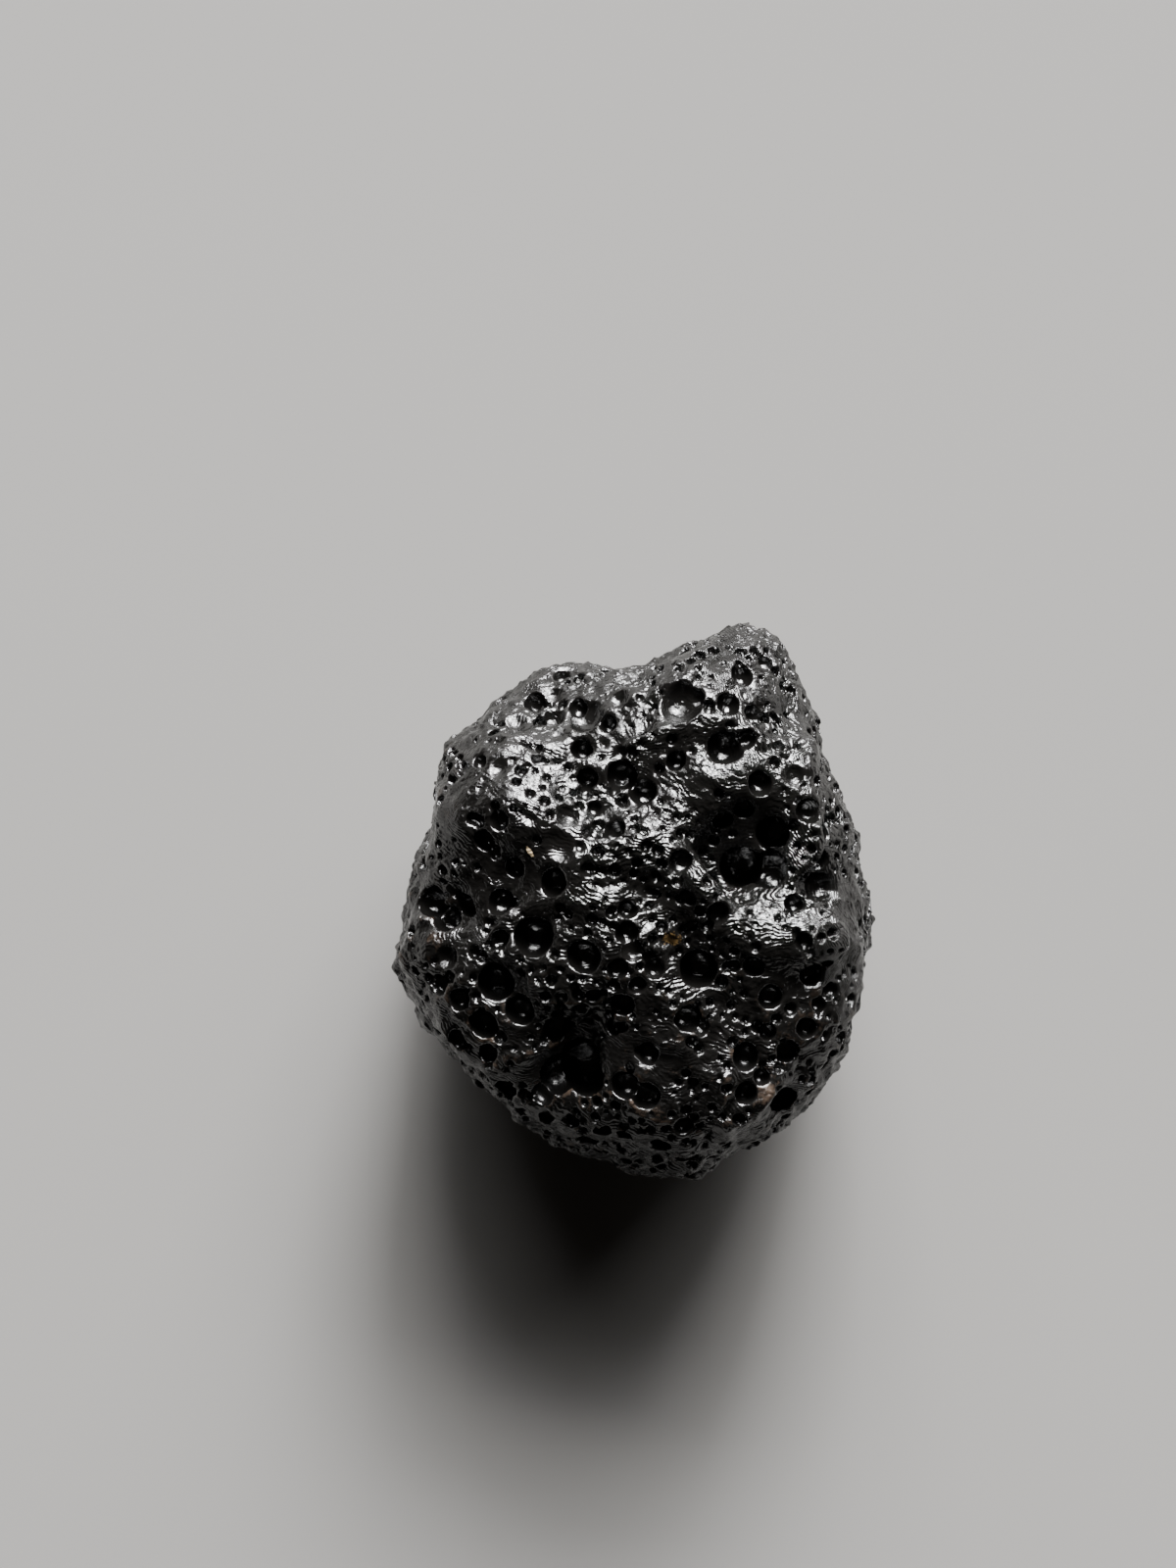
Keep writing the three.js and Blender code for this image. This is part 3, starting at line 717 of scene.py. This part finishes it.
def new_geometry_tree(name, inputs):
    """A Geometry Nodes tree with a geometry in and out, and named inputs for its sizes."""
    tree = bpy.data.node_groups.new(name, "GeometryNodeTree")
    tree.interface.new_socket("Geometry", in_out="INPUT", socket_type="NodeSocketGeometry")
    for label, kind in inputs:
        tree.interface.new_socket(label, in_out="INPUT", socket_type=kind)
    tree.interface.new_socket("Geometry", in_out="OUTPUT", socket_type="NodeSocketGeometry")
    maker = TreeMaker(tree)
    return maker, maker.node("NodeGroupInput").outputs


def finish_bubbles(maker, points, scale, facets, material):
    """One ball on each point, realized and given the glass, as the tree's result."""
    ball = maker.node("GeometryNodeMeshIcoSphere", sockets={"Subdivisions": facets})
    turn = maker.node("FunctionNodeRandomValue", {"data_type": "FLOAT_VECTOR"},
                      {RANDOM_VECTOR_MOST: (math.tau,) * 3})
    balls = maker.node(
        "GeometryNodeInstanceOnPoints",
        sockets={"Points": points, "Instance": ball.outputs[0], "Scale": scale, "Rotation": turn.outputs[0]},
    )
    real = maker.node("GeometryNodeRealizeInstances", sockets={0: balls.outputs[0]})
    done = maker.node("GeometryNodeSetMaterial", sockets={"Geometry": real.outputs[0], "Material": material})
    maker.node("NodeGroupOutput", sockets={0: done.outputs[0]})


def named_bubbles_tree():
    """Balls on the vertices of a mesh, each of the radius in its mouth attribute."""
    inputs = [("Facets", "NodeSocketInt"), ("Material", "NodeSocketMaterial")]
    maker, given = new_geometry_tree("named bubbles", inputs)
    points = maker.node("GeometryNodeMeshToPoints", sockets={"Mesh": given["Geometry"]})
    mouth = maker.node("GeometryNodeInputNamedAttribute", {"data_type": "FLOAT"}, {"Name": "mouth"})
    finish_bubbles(maker, points.outputs[0], mouth.outputs[0], given["Facets"], given["Material"])
    return maker.tree


def fine_bubbles_tree():
    """Small balls spread at random over a skin, but not over its worn flat."""
    inputs = [
        ("Spacing", "NodeSocketFloat"),
        ("Smallest", "NodeSocketFloat"),
        ("Largest", "NodeSocketFloat"),
        ("Lift", "NodeSocketFloat"),
        ("Lowest", "NodeSocketFloat"),
        ("Cluster", "NodeSocketFloat"),
        ("Facets", "NodeSocketInt"),
        ("Seed", "NodeSocketInt"),
        ("Material", "NodeSocketMaterial"),
    ]
    maker, given = new_geometry_tree("fine bubbles", inputs)
    place = maker.node("GeometryNodeInputPosition")
    height = maker.value("ShaderNodeSeparateXYZ", sockets={0: place.outputs[0]}, output="Z")
    cluster = maker.value("ShaderNodeTexNoise", None, {"Vector": place.outputs[0], "Scale": given["Cluster"]})
    taken = maker.value("GeometryNodeInputNamedAttribute", {"data_type": "FLOAT"}, {"Name": "taken"})
    free = taken.math("LESS_THAN", TAKEN_MOST)
    gathered = cluster.math("GREATER_THAN", CLUSTER_LEAST)
    allowed = height.math("GREATER_THAN", given["Lowest"]) * gathered * free
    spread = maker.node(
        "GeometryNodeDistributePointsOnFaces",
        {"distribute_method": "POISSON"},
        {
            "Mesh": given["Geometry"],
            "Distance Min": given["Spacing"],
            "Density Max": FINE_DENSITY,
            "Density Factor": allowed,
            "Seed": given["Seed"],
        },
    )
    share = maker.value("FunctionNodeRandomValue", {"data_type": "FLOAT"}, {"Seed": given["Seed"]},
                        output=RANDOM_FLOAT)
    smallest = Value(maker, given["Smallest"])
    radius = (share**2) * (Value(maker, given["Largest"]) - smallest) + smallest
    offset = maker.node(
        "ShaderNodeVectorMath",
        {"operation": "SCALE"},
        {0: spread.outputs["Normal"], "Scale": radius * Value(maker, given["Lift"])},
    )
    kept = maker.node("GeometryNodeStoreNamedAttribute", {"data_type": "FLOAT"},
                      {"Geometry": spread.outputs["Points"], "Name": "mouth", "Value": radius})
    moved = maker.node("GeometryNodeSetPosition", sockets={0: kept.outputs[0], "Offset": offset.outputs[0]})
    mouth = maker.node("GeometryNodeInputNamedAttribute", {"data_type": "FLOAT"}, {"Name": "mouth"})
    finish_bubbles(maker, moved.outputs[0], mouth.outputs[0], given["Facets"], given["Material"])
    return maker.tree


def run_tree(piece, tree, values):
    """Runs a tree on a piece with its inputs set by identifier, and keeps the result as a plain mesh."""
    modifier = piece.modifiers.new(tree.name, "NODES")
    modifier.node_group = tree
    names = {item.name: item.identifier for item in tree.interface.items_tree if item.in_out == "INPUT"}
    for name, value in values.items():
        modifier[names[name]] = value
    bake_modifiers(piece)


def sort_into_sets(places, radii):
    """Splits balls into sets that keep clear of each other, because a cutter may not cross itself."""
    sets = []
    for i in np.argsort(-radii):
        for members in sets:
            gap = np.linalg.norm(places[members] - places[i], axis=1) - radii[members] - radii[i]
            if gap.min() > CUTTER_GAP:
                members.append(i)
                break
        else:
            sets.append([i])
    return sets


def bubble_balls():
    """The middles and radii of all bubbles that have a place of their own."""
    directions, mouths, above = list_bubbles()
    mouths = np.where(above < 0, mouths * HOLE_SHARE, mouths)
    places = skin_points(directions) + skin_normals(directions) * (mouths * above)[:, None]
    return places, mouths * np.hypot(1, above)


def make_named_bubbles(material):
    """The balls of all bubbles that have a place of their own, in sets, a little out of round."""
    places, radii = bubble_balls()
    tree = named_bubbles_tree()
    pieces = []
    for members in sort_into_sets(places, radii):
        mesh = bpy.data.meshes.new("named bubbles")
        mesh.from_pydata(places[members].tolist(), [], [])
        store_number(mesh, "mouth", radii[members])
        piece = new_piece("named_bubbles", mesh)
        run_tree(piece, tree, {"Facets": NAMED_FACETS, "Material": material})
        points = read_vectors(piece.data, "co")
        warped = points
        for reach, size in WARPS:
            warped = warped + reach * shifts_at(points, size)
        write_points(piece.data, warped)
        pieces.append(piece)
    return pieces


def make_fine_bubbles(skin, settings, material):
    """The balls of the smallest bubbles, spread over the skin."""
    piece = new_piece("fine_bubbles", skin.data.copy())
    values = {
        "Spacing": settings.fine_spacing,
        "Smallest": settings.fine_smallest,
        "Largest": settings.fine_largest,
        "Lift": FINE_LIFT,
        "Lowest": FINE_LOWEST,
        "Cluster": CLUSTER_SCALE,
        "Facets": FINE_FACETS,
        "Seed": settings.seed,
        "Material": material,
    }
    run_tree(piece, fine_bubbles_tree(), values)
    return piece


def cut(stone, cutters):
    """Cuts each set of balls out of the stone."""
    for cutter in cutters:
        modifier = stone.modifiers.new("cut", "BOOLEAN")
        modifier.operation = "DIFFERENCE"
        modifier.solver = "MANIFOLD"
        modifier.object = cutter
    bake_modifiers(stone)
    for cutter in cutters:
        remove_piece(cutter)


def keep_largest_island(mesh):
    """Deletes crumbs and sealed bubbles that the cuts may have left loose."""
    edges = read_edges(mesh)
    labels = np.arange(len(mesh.vertices))
    while True:
        low = np.minimum(labels[edges[:, 0]], labels[edges[:, 1]])
        spread = labels.copy()
        np.minimum.at(spread, edges[:, 0], low)
        np.minimum.at(spread, edges[:, 1], low)
        spread = spread[spread]
        if np.array_equal(spread, labels):
            break
        labels = spread
    largest = np.bincount(labels).argmax()
    loose = np.flatnonzero(labels != largest)
    if not len(loose):
        return
    work = bmesh.new()
    work.from_mesh(mesh)
    work.verts.ensure_lookup_table()
    bmesh.ops.delete(work, geom=[work.verts[i] for i in loose], context="VERTS")
    work.to_mesh(mesh)
    work.free()


def join_and_smooth(stone, settings):
    """One even skin over stone and pits, which rounds the pits' lips, then thinned where it is flat."""
    remesh = stone.modifiers.new("remesh", "REMESH")
    remesh.mode = "VOXEL"
    remesh.voxel_size = settings.voxel
    bake_modifiers(stone)
    keep_largest_island(stone.data)
    thin = stone.modifiers.new("thin", "DECIMATE")
    thin.ratio = min(1.0, settings.triangles / (2 * len(stone.data.polygons)))
    bake_modifiers(stone)


def fit_to_cad_box(points):
    """The points stretched by a hair so that they fill the solid's box, in metres."""
    low, high = points.min(0), points.max(0)
    return (points - low) / (high - low) * (np.array(CAD_HIGH) - np.array(CAD_LOW)) + np.array(CAD_LOW)


def store_crests(mesh):
    """Stores how far each vertex stands out of its surroundings, in mm, in the attribute crest."""
    edges = read_edges(mesh)
    points = read_vectors(mesh, "co") / MM
    smooth = points.copy()
    count = np.bincount(edges.ravel(), minlength=len(points))[:, None]
    for _ in range(CREST_ROUNDS):
        total = np.zeros_like(smooth)
        np.add.at(total, edges[:, 0], smooth[edges[:, 1]])
        np.add.at(total, edges[:, 1], smooth[edges[:, 0]])
        smooth = (smooth + total / count) / 2
    crest = np.sum((points - smooth) * read_vectors(mesh, "normal"), axis=1)
    store_number(mesh, "crest", crest)


def store_walls(mesh):
    """Stores in the attribute wall how much each vertex belongs to the smooth wall of a burst bubble."""
    places, radii = bubble_balls()
    above = list_bubbles()[2]
    shares = np.where(above < 0, WALL_SUNK, WALL_OPEN)
    points = read_vectors(mesh, "co")
    wall = np.zeros(len(points))
    for place, radius, share in zip(places, radii, shares):
        gap = np.abs(np.linalg.norm(points - place, axis=1) - radius)
        wall = np.maximum(wall, share * np.clip(WALL_START - gap / WALL_BREADTH, 0, 1))
    store_number(mesh, "wall", wall)


def make_glass(settings):
    """Black glass with flow lines, a fine grain, brown on the lower ridges that is partly a film of clay and
    partly a painted reflection of brown surroundings, and two specks.
    """
    material = bpy.data.materials.new("black_glass")
    material.use_nodes = True
    tree = material.node_tree
    tree.nodes.clear()
    maker = TreeMaker(tree)
    place = maker.node("ShaderNodeTexCoord").outputs["Object"]
    mm = maker.node("ShaderNodeMapping", sockets={"Vector": place, "Scale": (1 / MM,) * 3}).outputs[0]
    x, y, z = (maker.value("ShaderNodeSeparateXYZ", sockets={0: mm}, output=axis) for axis in "XYZ")

    def stored(name):
        return maker.value("ShaderNodeAttribute", {"attribute_name": name}, output="Fac")

    def cloud(scale, detail, roughness=0.5, vector=mm):
        sockets = {"Vector": vector, "Scale": scale, "Detail": detail, "Roughness": roughness}
        return maker.value("ShaderNodeTexNoise", None, sockets)

    def shifted(vector, scale, reach):
        noisy = maker.node("ShaderNodeTexNoise", None, {"Vector": mm, "Scale": scale, "Detail": 2.0})
        middle = {0: noisy.outputs["Color"], 1: (0.5, 0.5, 0.5)}
        centred = maker.node("ShaderNodeVectorMath", {"operation": "SUBTRACT"}, middle)
        sockets = {0: centred.outputs[0], 1: (reach,) * 3, 2: vector}
        return maker.node("ShaderNodeVectorMath", {"operation": "MULTIPLY_ADD"}, sockets).outputs[0]

    def blob(x0, y0, long, short, lean, ragged):
        along = ((x - x0) * math.cos(lean) + (y - y0) * math.sin(lean)) / long
        across = ((y - y0) * math.cos(lean) - (x - x0) * math.sin(lean)) / short
        front = z.math("GREATER_THAN", RIM_HEIGHT)
        edge = (cloud(9.0, 3.0, 0.7) - 0.5) * ragged
        return ((1.0 - along * along - across * across + edge) * 3.0).clamped() * front

    def mixed(factor, first, second):
        sockets = {"Factor": factor, MIX_FIRST: first, MIX_SECOND: second}
        return maker.node("ShaderNodeMix", {"data_type": "RGBA"}, sockets).outputs[MIX_RESULT]

    # Zones of the stone: each rises from 0 to 1 along x, y or z in mm
    right_side = (x * 0.9 + y * 0.35 - 3.3).clamped()
    left_side = ((-x - 4.0) * 0.8).clamped()
    side = ((6.6 - z) * 0.5).clamped()
    lower_half = ((-y - 0.5) * 0.5).clamped()
    low_side = ((-y - 1.2) * 0.35).clamped()

    # Flow lines, which turn to follow the right rim, and the crinkled skin between them
    flow = mm
    for scale, reach in FLOW_FOLDS:
        flow = shifted(flow, scale, reach)

    def along_flow(direction):
        product = maker.node("ShaderNodeVectorMath", {"operation": "DOT_PRODUCT"}, {0: flow, 1: direction})
        return Value(maker, product.outputs["Value"])

    across = along_flow(FLOW_LEFT) * (1.0 - right_side) + along_flow(FLOW_RIGHT) * right_side
    lines = (across * FLOW_LINES).sine() * 0.5 + 0.5
    patch = (cloud(0.7, 2.0) * 3.0 - 0.9).clamped() * 0.7 + 0.3
    streaks = (lines - 0.5) * patch * (right_side * SIDE_STREAK_BUMP + STREAK_BUMP)
    stretched = maker.node("ShaderNodeMapping", sockets={"Vector": flow, "Scale": (0.3, 1.0, 1.0)}).outputs[0]
    crinkle = cloud(8.0, 3.0, 0.6, stretched)

    # Pinpricks, in crowds on the upper side and everywhere on the flanks
    cells = maker.value("ShaderNodeTexVoronoi", None, {"Vector": shifted(mm, 4.0, 0.1), "Scale": 5.0})
    pinpricks = (1.0 - (cells / 0.45) ** 2).clamped() * TINY_PIT_BUMP
    crowded = (cloud(1.3, 2.0) * 5.0 - 1.9).clamped().math("MAXIMUM", side * 0.6)

    # The bump of the skin, weaker on the pits' smooth walls and on the lower half
    fine = cloud(9.0, 3.0, 0.6)
    lumps = cloud(3.0, 2.0, 0.5)
    grainy = (lumps - 0.5) * LUMP_BUMP + (fine - 0.5) * FINE_BUMP + (crinkle - 0.5) * CRINKLE_BUMP
    strength = side - lower_half * LOWER_CALM + 1.0
    height = (grainy * strength + streaks - pinpricks * crowded) * (1.0 - stored("wall") * WALL_CALM)
    bump = maker.node("ShaderNodeBump", None, {"Strength": 1.0, "Distance": MM, "Height": height})

    # Brown on the crests at the lower and left side, partly clay and partly a painted reflection of brown
    # surroundings, then one pale grain and one brown speck
    clay_and_reflection_area = low_side.math("MAXIMUM", left_side)
    clay_and_painted_reflection = (stored("crest") * 10.0 + cloud(2.3, 5.0, 0.7) * 3.0 - 2.1).clamped() * clay_and_reflection_area
    grain = blob(-2.39, 1.17, 0.14, 0.05, math.radians(-55), 2.0)
    speck = blob(0.85, -0.81, 0.2, 0.14, 0.0, 6.0) * fine * 0.16
    colour = mixed(clay_and_painted_reflection * 0.45, tuple(settings.glass), tuple(settings.clay_and_painted_reflection))
    colour = mixed(speck, colour, SPECK_COLOUR)
    colour = mixed(grain, colour, tuple(settings.grain))
    film = clay_and_painted_reflection * 0.35 + grain * 0.4 + low_side * 0.1
    roughness = (fine * 0.1 + cloud(1.1, 3.0) * 0.1 + film + 0.03).clamped()
    skin = maker.node(
        "ShaderNodeBsdfPrincipled",
        None,
        {"Base Color": colour, "Roughness": roughness, "IOR": 1.5, "Specular IOR Level": 0.5,
         "Normal": bump.outputs[0]},
    )
    maker.node("ShaderNodeOutputMaterial", None, {"Surface": skin.outputs[0]})
    return material


def make_floor(settings):
    """A wide pale floor at z = 0, matt."""
    material = bpy.data.materials.new("floor")
    material.use_nodes = True
    shader = material.node_tree.nodes["Principled BSDF"]
    shader.inputs["Base Color"].default_value = settings.floor
    shader.inputs["Roughness"].default_value = FLOOR_ROUGHNESS
    corners = [(x * FLOOR_HALF, y * FLOOR_HALF, 0) for x, y in ((-1, -1), (1, -1), (1, 1), (-1, 1))]
    mesh = bpy.data.meshes.new("floor")
    mesh.from_pydata(corners, [], [(0, 1, 2, 3)])
    mesh.materials.append(material)
    floor = new_piece("floor", mesh)


def make_area_light(name, place, across, high, power):
    """A soft panel that faces the stone and that no camera sees."""
    light = bpy.data.lights.new(name, "AREA")
    light.shape = "RECTANGLE"
    light.size = across
    light.size_y = high
    light.energy = power
    lamp = bpy.data.objects.new(name, light)
    lamp.location = place
    sight = Vector((0, 0, RIM_HEIGHT * MM)) - lamp.location
    lamp.rotation_euler = sight.to_track_quat("-Z", "Y").to_euler()
    lamp.visible_camera = False
    bpy.context.scene.collection.objects.link(lamp)


def make_lights(settings):
    """A broad key panel beyond the horn, low enough to light the pits' near walls, and a dim room."""
    for name, size, share, away in KEY_PANELS:
        place = Vector(KEY_DIRECTION).normalized() * away
        make_area_light(name, place, size[0], size[1], settings.key_power * share)
    world = bpy.data.worlds.new("room")
    world.use_nodes = True
    background = world.node_tree.nodes["Background"]
    background.inputs["Color"].default_value = ROOM_COLOUR
    background.inputs["Strength"].default_value = ROOM_STRENGTH
    bpy.context.scene.world = world


def make_camera(settings):
    """A long lens straight above, with the stone right of and below the middle of the frame."""
    x = (PHOTO_WIDTH / 2 - STONE_MIDDLE[0]) / PIXELS_PER_MM * MM
    y = (STONE_MIDDLE[1] - PHOTO_HEIGHT / 2) / PIXELS_PER_MM * MM
    data = bpy.data.cameras.new("camera")
    data.sensor_width = SENSOR_WIDTH
    data.lens = SENSOR_WIDTH * settings.distance / (PHOTO_HEIGHT / PIXELS_PER_MM * MM)
    data.clip_start = NEAREST_SEEN
    data.clip_end = FARTHEST_SEEN
    camera = bpy.data.objects.new("camera", data)
    camera.location = (x, y, RIM_HEIGHT * MM + settings.distance)
    bpy.context.scene.collection.objects.link(camera)
    bpy.context.scene.camera = camera


class MakeStone(bpy.types.Operator):
    """Makes the pitted stone in the place of its solid"""

    bl_idname = "tektite.make_stone"
    bl_label = "Stone"

    def execute(self, context):
        settings = context.scene.tektite_stone
        glass = make_glass(settings)
        stone = make_skin(settings)
        stone.name = "tektite_stone"
        cut(stone, make_named_bubbles(glass) + [make_fine_bubbles(stone, settings, glass)])
        join_and_smooth(stone, settings)
        mesh = stone.data
        store_walls(mesh)
        write_points(mesh, fit_to_cad_box(read_vectors(mesh, "co")))
        store_crests(mesh)
        mesh.materials.clear()
        mesh.materials.append(glass)
        mesh.shade_smooth()
        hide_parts("tektite")
        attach(stone, "root")
        print("stone", len(mesh.vertices), "vertices", len(mesh.polygons), "faces")
        return {"FINISHED"}


class MakeStage(bpy.types.Operator):
    """Makes the floor, the light and the camera"""

    bl_idname = "tektite.make_stage"
    bl_label = "Stage"

    def execute(self, context):
        settings = context.scene.tektite_stage
        make_floor(settings)
        make_lights(settings)
        make_camera(settings)
        return {"FINISHED"}


class TektitePanel(bpy.types.Panel):
    """Lists the settings and the operators"""

    bl_idname = "VIEW3D_PT_tektite"
    bl_label = "Tektite"
    bl_space_type = "VIEW_3D"
    bl_region_type = "UI"
    bl_category = "Tektite"

    def draw(self, context):
        for settings, operator in (
            (context.scene.tektite_stone, MakeStone),
            (context.scene.tektite_stage, MakeStage),
        ):
            for name in settings.bl_rna.properties.keys():
                if name not in ("name", "rna_type"):
                    self.layout.prop(settings, name)
            self.layout.operator(operator.bl_idname)


CLASSES = (StoneSettings, StageSettings, MakeStone, MakeStage, TektitePanel)


def register():
    for item in CLASSES:
        bpy.utils.register_class(item)
    bpy.types.Scene.tektite_stone = bpy.props.PointerProperty(type=StoneSettings)
    bpy.types.Scene.tektite_stage = bpy.props.PointerProperty(type=StageSettings)


def unregister():
    del bpy.types.Scene.tektite_stage
    del bpy.types.Scene.tektite_stone
    for item in reversed(CLASSES):
        bpy.utils.unregister_class(item)


def main():
    register()
    bpy.ops.tektite.make_stage()
    bpy.ops.tektite.make_stone()


if __name__ == "__main__":
    main()
